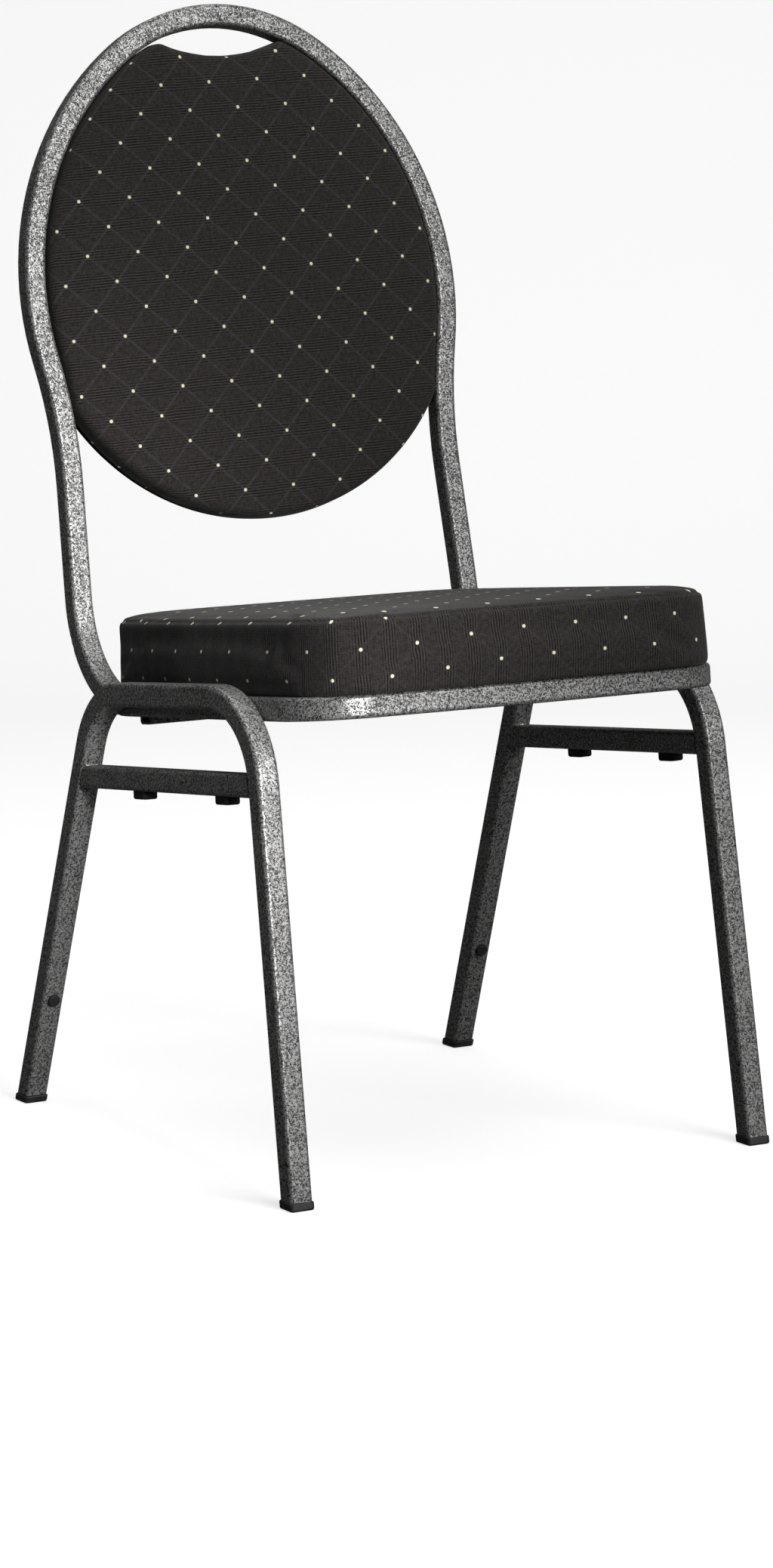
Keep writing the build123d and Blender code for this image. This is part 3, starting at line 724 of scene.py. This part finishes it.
def make_back_pad():
    """Padded front of the back, wrapped round its board inside the hoop."""
    loop = outline("back_cushion", BACK, BACK_LEVEL)
    centre = back_centre(loop)
    inset, ceiling = BACK_POCKET
    rim = wall(inset, BACK_REAR, ceiling)[::-1] + [(width, BACK_REAR + rise) for width, rise in BACK_ROLL]
    rim += wall(0.0, BACK_REAR + BACK_WALL, BACK_RIM - BACK_EDGE) + rounded(0.0, BACK_RIM, BACK_EDGE, steps=5)
    mesh = pad_mesh("back_pad_upholstery", loop, inward_to(loop, centre), rim, centre, BACK_CROWN)
    piece = new_piece("back_pad_upholstery", mesh, BACK_CLOTH)
    puff(piece, held=points(mesh)[:, 2] < BACK_HELD, pressure=3.0, cap=BACK_SWELL)
    modified(piece, "SUBSURF", levels=1)
    lay_cloth(piece, loop, edge=BACK_EDGE, top=BACK_RIM)
    put(piece, BACK)
    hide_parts("back_cushion")


def make_back_cover():
    """Thin upholstered panel that closes the rear of the back."""
    heights = node_points("back_cover", BACK)[:, 2]
    rear, front = float(heights.min()), float(heights.max())
    loop = outline("back_cover", BACK, (rear + front) / 2)
    centre = back_centre(loop)
    rim = [(0.0, 0.0), (0.0, COVER_WALL)] + rounded(0.0, front - rear, COVER_EDGE, steps=4)
    mesh = pad_mesh("rear_cover_upholstery", loop, inward_to(loop, centre), rim, centre, COVER_CROWN)
    piece = new_piece("rear_cover_upholstery", mesh, BACK_CLOTH)
    modified(piece, "SUBSURF", levels=1)
    lay_cloth(piece, loop, edge=COVER_EDGE, top=front - rear)
    flip = Matrix.Translation((0, 0, front)) @ Matrix.Diagonal((1, 1, -1, 1))
    piece.data.transform(flip)
    piece.data.flip_normals()
    put(piece, BACK)
    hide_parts("back_cover")


make_cushion()
make_back_pad()
make_back_cover()

# ---- dust cover ----

DUST_CORNER = 0.012
DUST_STEPS = (72, 64)            # faces of the sheet across and along the chair
DUST_LIFT = 0.0006               # the sheet's edge lies this far above the underside of its CAD solid
DUST_SAG, DUST_RIPPLE = 0.0018, 0.0006
DUST_RIPPLE_PITCH, DUST_RIPPLE_WIDTH = 0.036, 0.03
DUST_THICKNESS = 0.0004


def dust_cover_frame():
    """Half width, lowest and highest Y and underside of the CAD dust cover, in the seat plane."""
    co = node_points("seat_dust_cover", SEAT)
    return co[:, 0].max(), co[:, 1].min(), co[:, 1].max(), co[:, 2].min()


def round_corner(x, y, half_x, half_y):
    """Pull a point in the square corner of a rectangle into its rounded corner."""
    over_x = abs(x) - (half_x - DUST_CORNER)
    over_y = abs(y) - (half_y - DUST_CORNER)
    if over_x <= 0 or over_y <= 0:
        return x, y
    pull = max(over_x, over_y) / max((over_x ** 2 + over_y ** 2) ** 0.5, 1e-9)
    x = (abs(x) - over_x + over_x * pull) * (1 if x > 0 else -1)
    y = (abs(y) - over_y + over_y * pull) * (1 if y > 0 else -1)
    return x, y


def droop(x, y, half_x, half_y):
    """Sag of the sheet's middle, and the ripple along its stapled edges."""
    sag = DUST_SAG * (1 - (x / half_x) ** 2) * (1 - (y / half_y) ** 2)
    to_side, to_end = half_x - abs(x), half_y - abs(y)
    along = x if to_end < to_side else y
    wave = 0.5 - 0.5 * cos(2 * pi * along / DUST_RIPPLE_PITCH)
    return sag, DUST_RIPPLE * wave * max(0.0, 1 - min(to_side, to_end) / DUST_RIPPLE_WIDTH)


def make_dust_cover():
    """Thin sheet stapled under the seat board, with a slight sag between its staples."""
    low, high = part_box("seat_dust_cover")
    width = high.x - low.x
    _, y_low, y_high, z = dust_cover_frame()
    length = y_high - y_low
    nx, ny = DUST_STEPS
    grid = bmesh.new()
    rows = []
    for j in range(ny + 1):
        row = []
        for i in range(nx + 1):
            x, y = round_corner((i / nx - 0.5) * width, (j / ny - 0.5) * length, width / 2, length / 2)
            sag, ripple = droop(x, y, width / 2, length / 2)
            row.append(grid.verts.new((x, y + (y_low + y_high) / 2, z + DUST_LIFT - sag - ripple)))
        rows.append(row)
    for j in range(ny):
        for i in range(nx):
            grid.faces.new((rows[j][i], rows[j][i + 1], rows[j + 1][i + 1], rows[j + 1][i]))
    sheet = bpy.data.meshes.new("dust_cover_sheet")
    grid.to_mesh(sheet)
    grid.free()
    piece = new_piece("dust_cover_sheet", sheet, DUST_CLOTH)
    modified(piece, "SOLIDIFY", thickness=DUST_THICKNESS, offset=0)
    put(piece, SEAT)
    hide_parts("seat_dust_cover")


make_dust_cover()

# ---- weld beads ----

RAIL_OUTER, RAIL_INNER = 0.1999, 0.1809          # walls of the hoop's rails, from the chair's middle plane
RAIL_TOP, RAIL_BOTTOM = -0.0110, -0.0300         # and their faces, in the seat plane
BAR_BOTTOM, REAR_RAIL_TOP = -0.0200, -0.0190
BAR_WELDS, BAR_WELD_HALF = (-0.080, 0.0, 0.080), 0.013    # places and half length, top bar to rail
TAB_PLACES, TAB_WELD_HALF = (0.100, -0.118), 0.012        # the same for the seat tabs
REAR_RAIL_WELD = (0.1115, 0.1245)                # ends of the welds on the rear seat rail
STRETCHER_WELD_HALF, STRETCHER_WELD_RADIUS = 0.0075, 0.0016

SAME_LEVEL = 0.0005                              # points this near a height belong to its edge

# How far out and up a bead's centre lies from the tubes' edge, and its radius
UNDER_BAR, OVER_RAIL = (0.0004, -0.0006, 0.0019), (-0.0006, 0.0006, 0.0016)
AT_TAB = (-0.0005, -0.0026, 0.0013)
OVER_REAR_RAIL, UNDER_REAR_RAIL = (-0.0005, 0.0005, 0.0015), (-0.0005, -0.0004, 0.0015)

BEAD_STEP, BEAD_SIDES, BEAD_FEWEST = 0.0006, 10, 8
BEAD_TAPER, BEAD_TIP = 4, 0.12                   # full after 1/4 of its length, and its tips' share of that
RIPPLE_HEIGHT, RIPPLE_PITCH = 0.16, 0.0024       # height as a share of the bead's radius


def bead(mesh, start, end, radius):
    """Rippled weld bead between two points of the seat plane's frame."""
    start, end = Vector(start), Vector(end)
    along = end - start
    length = along.length
    along.normalize()
    side = along.orthogonal().normalized()
    over = along.cross(side)
    count = max(BEAD_FEWEST, round(length / BEAD_STEP))
    rings = []
    for i in range(count + 1):
        at = i / count
        taper = min(1.0, BEAD_TAPER * at, BEAD_TAPER * (1 - at)) ** 0.5 if 0 < at < 1 else BEAD_TIP
        ripple = 1 + RIPPLE_HEIGHT * abs(sin(pi * at * length / RIPPLE_PITCH))
        centre = start + along * length * at
        ring = []
        for k in range(BEAD_SIDES):
            angle = k / BEAD_SIDES * 2 * pi
            away = side * cos(angle) + over * sin(angle)
            ring.append(mesh.verts.new(SEAT @ (centre + away * radius * taper * ripple)))
        rings.append(ring)
    for low, high in zip(rings, rings[1:]):
        bridge(mesh, low, high)
    mesh.faces.new(rings[0][::-1])
    mesh.faces.new(rings[-1])


def rail_welds():
    """Weld beads along one rail: X of the edge, first and last Y, height, and the bead's own numbers."""
    for y in BAR_WELDS:
        low, high = y - BAR_WELD_HALF, y + BAR_WELD_HALF
        yield RAIL_OUTER, low, high, BAR_BOTTOM, UNDER_BAR
        yield RAIL_OUTER, low, high, RAIL_TOP, OVER_RAIL
    for y in TAB_PLACES:
        yield RAIL_INNER, y - TAB_WELD_HALF, y + TAB_WELD_HALF, RAIL_TOP, AT_TAB
    yield RAIL_INNER, *REAR_RAIL_WELD, REAR_RAIL_TOP, OVER_REAR_RAIL
    yield RAIL_INNER, *REAR_RAIL_WELD, RAIL_BOTTOM, UNDER_REAR_RAIL


def stretcher_edges(node):
    """Middle X, and the Y and height of each of the four edges at the ends of a stretcher."""
    co = node_points(node, SEAT)
    x = (co[:, 0].min() + co[:, 0].max()) / 2
    for height in (co[:, 2].min(), co[:, 2].max()):
        level = co[np.abs(co[:, 2] - height) < SAME_LEVEL]
        for y in (level[:, 1].min(), level[:, 1].max()):
            yield x, y, height


def add_small_parts(name, mesh, material):
    """Turn the parts drawn in a mesh into one object that rides on the body."""
    data = bpy.data.meshes.new(name)
    bmesh.ops.recalc_face_normals(mesh, faces=mesh.faces[:])
    mesh.to_mesh(data)
    mesh.free()
    piece = new_piece(name, data, material)
    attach(piece, "root")
    return piece


def make_weld_beads():
    """Beads where the tubes and the seat tabs meet the rails, and at the ends of the stretchers."""
    mesh = bmesh.new()
    for side in (-1, 1):
        for edge, low, high, height, (out, up, radius) in rail_welds():
            x, z = side * (edge + out), height + up
            bead(mesh, (x, low, z), (x, high, z), radius)
    for node in ("left_stretcher", "right_stretcher"):
        for x, y, height in stretcher_edges(node):
            start, end = (x - STRETCHER_WELD_HALF, y, height), (x + STRETCHER_WELD_HALF, y, height)
            bead(mesh, start, end, STRETCHER_WELD_RADIUS)
    add_small_parts("weld_beads", mesh, PAINT)


make_weld_beads()

# ---- staples ----

STAPLE_CROWN, STAPLE_WIDTH, STAPLE_HEIGHT = 0.0100, 0.0011, 0.0006
STAPLE_SHAPE = ((-1.0, 0.55), (-0.9, 1.0), (0.9, 1.0), (1.0, 0.55))   # places of its sections and their sizes
STAPLE_TOP, STAPLE_BED = 0.7, 0.3      # width of its top, and depth pressed into the cloth, as shares
STAPLE_DEPTH = 0.00018                 # staples of the margin lie this far under the board
MARGIN_INSET, STAPLE_GAP = 0.0215, 0.026
RAIL_GAP = 0.004                       # no staple of the margin lies closer to a rail than this,
TAB_MIDDLE, TAB_GAP = 0.1647, (0.026, 0.024)   # nor within these of a tab's middle, across and along
COVER_INSET, COVER_GAPS = 0.006, (0.040, 0.045)   # staples of the dust cover, across and along the chair
MARGIN_TILT, COVER_TILT = 0.25, 0.12   # greatest tilt of a staple in radians; the sines only make it uneven


def staple(mesh, centre, heading, depth):
    """Crown of a staple: a flat bar with softened ends, lying against the cloth."""
    along = Vector((cos(heading), sin(heading), 0))
    across = Vector((-along.y, along.x, 0))
    sections = []
    for at, size in STAPLE_SHAPE:
        middle = Vector((*centre, depth)) + along * at * STAPLE_CROWN / 2
        half = across * STAPLE_WIDTH / 2 * size
        low = Vector((0, 0, -STAPLE_HEIGHT * size))
        bed = Vector((0, 0, STAPLE_HEIGHT * STAPLE_BED))
        corners = (middle - half + bed, middle + half + bed,
                   middle + half * STAPLE_TOP + low, middle - half * STAPLE_TOP + low)
        sections.append([mesh.verts.new(SEAT @ corner) for corner in corners])
    for low, high in zip(sections, sections[1:]):
        bridge(mesh, low, high)
    mesh.faces.new(sections[0][::-1])
    mesh.faces.new(sections[-1])


def near_tab(x, y):
    across, along = TAB_GAP
    return abs(abs(x) - TAB_MIDDLE) < across and any(abs(y - tab) < along for tab in TAB_PLACES)


def staple_margin(mesh):
    """Row of staples in the cloth margin under the board, broken by the rails and the tabs."""
    way = np.roll(SEAT_LOOP, -1, axis=0) - SEAT_LOOP
    spots = SEAT_LOOP + inward_of(SEAT_LOOP) * MARGIN_INSET
    last = None
    for i, (x, y) in enumerate(spots):
        if abs(x) > RAIL_INNER - RAIL_GAP or near_tab(x, y):
            continue
        if last is not None and np.linalg.norm(spots[i] - last) < STAPLE_GAP:
            continue
        last = spots[i]
        heading = atan2(way[i][1], way[i][0]) + MARGIN_TILT * sin(7.0 * i)
        staple(mesh, (x, y), heading, SEAT_BASE - STAPLE_DEPTH)


def staple_cover(mesh):
    """Staples along the four edges of the dust cover."""
    half_x, low_y, high_y, depth = dust_cover_frame()
    across, along = COVER_GAPS
    for k in range(-3, 4):
        for y in (low_y + COVER_INSET, high_y - COVER_INSET):
            staple(mesh, (k * across, y), COVER_TILT * sin(5.0 * k + y * 90), depth)
    for k in range(-2, 3):
        for side in (-1, 1):
            y = (low_y + high_y) / 2 + k * along
            staple(mesh, (side * (half_x - COVER_INSET), y), pi / 2 + COVER_TILT * sin(3.0 * k + side), depth)


def make_staples():
    mesh = bmesh.new()
    staple_margin(mesh)
    staple_cover(mesh)
    piece = add_small_parts("staples", mesh, STEEL)
    piece.data.polygons.foreach_set("use_smooth", [False] * len(piece.data.polygons))


make_staples()

# ---- floor, lights and camera ----

FLOOR_REACH = 14.0               # half width of the floor, and its length in front of the chair
FLOOR_END, BEND_RADIUS, BACKDROP_TOP = 2.6, 1.4, 7.0
BEND_STEPS = 16
FLOOR_TURN = 29.6                # degrees, close to the camera's azimuth
FLOOR_GLOW = 0.65
FLOOR_DARK, FLOOR_LIGHT = (0.84, 0.84, 0.84), (0.86, 0.86, 0.86)


def make_floor():
    """Pale floor that curves up into a backdrop behind the chair, square to the camera."""
    profile = [(-FLOOR_REACH, 0.0), (FLOOR_END, 0.0)]
    for step in range(1, BEND_STEPS + 1):
        angle = step / BEND_STEPS * pi / 2
        profile.append((FLOOR_END + BEND_RADIUS * sin(angle), BEND_RADIUS - BEND_RADIUS * cos(angle)))
    profile.append((FLOOR_END + BEND_RADIUS, BACKDROP_TOP))
    mesh = bmesh.new()
    left, right = ([mesh.verts.new((x, y, z)) for y, z in profile] for x in (-FLOOR_REACH, FLOOR_REACH))
    for i in range(len(profile) - 1):
        mesh.faces.new((left[i], right[i], right[i + 1], left[i + 1]))
    floor = bpy.data.meshes.new("studio_floor")
    mesh.to_mesh(floor)
    mesh.free()
    floor.polygons.foreach_set("use_smooth", [True] * len(floor.polygons))
    piece = bpy.data.objects.new("studio_floor", floor)
    bpy.context.scene.collection.objects.link(piece)
    s = Shader("studio_floor_pale", roughness=0.8, Emission_Color=(1, 1, 1, 1), Emission_Strength=FLOOR_GLOW)
    s.set("Base Color", s.blend(s.noise(scale=1.5, detail=3.0), FLOOR_DARK, FLOOR_LIGHT))
    floor.materials.append(s.material)
    piece.rotation_euler = (0, 0, -radians(FLOOR_TURN))
    piece.visible_diffuse = False
    piece.visible_glossy = False


def area_light(name, place, target, size, power):
    """Rectangular lamp aimed at a target."""
    light = bpy.data.lights.new(name, "AREA")
    light.shape = "RECTANGLE"
    light.size, light.size_y = size
    light.energy = power
    aim(name, light, place, target)


SPOT_SOFTNESS = 0.25             # radius of the spot's lamp, in metres


def spot_light(name, place, target, cone, power):
    """Soft-edged lamp that lights a cone, given in degrees, round its target."""
    light = bpy.data.lights.new(name, "SPOT")
    light.spot_size = radians(cone)
    light.spot_blend = 1.0
    light.shadow_soft_size = SPOT_SOFTNESS
    light.energy = power
    aim(name, light, place, target)


def aim(name, light, place, target):
    """Place a light so that it shines at its target."""
    lamp = bpy.data.objects.new(name, light)
    lamp.location = place
    lamp.rotation_euler = (Vector(target) - Vector(place)).to_track_quat("-Z", "Y").to_euler()
    bpy.context.scene.collection.objects.link(lamp)


WORLD_GLOW = 0.05


def make_studio():
    """Pale floor, faint even light from all round, and lamps in front and overhead."""
    make_floor()
    world = bpy.data.worlds.new("studio")
    bpy.context.scene.world = world
    world.use_nodes = True
    background = world.node_tree.nodes["Background"]
    background.inputs["Color"].default_value = (1, 1, 1, 1)
    background.inputs["Strength"].default_value = WORLD_GLOW
    area_light("key", place=(0.9, -3.4, 1.9), target=(0, 0, 0.5), size=(2.0, 2.0), power=66)
    area_light("high_key", place=(0.1, -2.3, 3.3), target=(0, 0, 0.6), size=(1.8, 1.8), power=20)
    area_light("overhead", place=(0.2, 0.3, 3.4), target=(0, 0.2, 0), size=(4.0, 4.0), power=46)
    spot_light("corner_spot", place=(-0.5, -3.35, 1.05), target=(-0.38, -0.2, 0.43), cone=13.0, power=680)
    bpy.context.scene.view_settings.view_transform = "Standard"


CAMERA_PLACE = (-2.04395, -3.61795, 0.91743)
CAMERA_AZIMUTH, CAMERA_DOWN, CAMERA_ROLL = 29.641, 8.524, -0.786   # in degrees
CAMERA_SENSOR, CAMERA_LENS = 36, 113.808    # in millimetres
CAMERA_SHIFT = -0.0038295                   # share of the image's longer side
CAMERA_REACH = 60                           # nothing is seen beyond this, in metres


def make_camera():
    """Camera at the photograph's viewing angle."""
    azimuth, down, roll = (radians(a) for a in (CAMERA_AZIMUTH, CAMERA_DOWN, CAMERA_ROLL))
    ahead = Vector((sin(azimuth) * cos(down), cos(azimuth) * cos(down), -sin(down)))
    level = Vector((cos(azimuth), -sin(azimuth), 0))
    up = level.cross(ahead)
    right = level * cos(roll) + up * sin(roll)
    up = up * cos(roll) - level * sin(roll)
    data = bpy.data.cameras.new("camera")
    data.sensor_fit = "AUTO"
    data.sensor_width = CAMERA_SENSOR
    data.lens = CAMERA_LENS
    data.shift_y = CAMERA_SHIFT
    data.clip_end = CAMERA_REACH
    camera = bpy.data.objects.new("camera", data)
    turn = Matrix((right, up, -ahead)).transposed().to_4x4()
    camera.matrix_world = Matrix.Translation(CAMERA_PLACE) @ turn
    bpy.context.scene.collection.objects.link(camera)
    bpy.context.scene.camera = camera


make_studio()
make_camera()
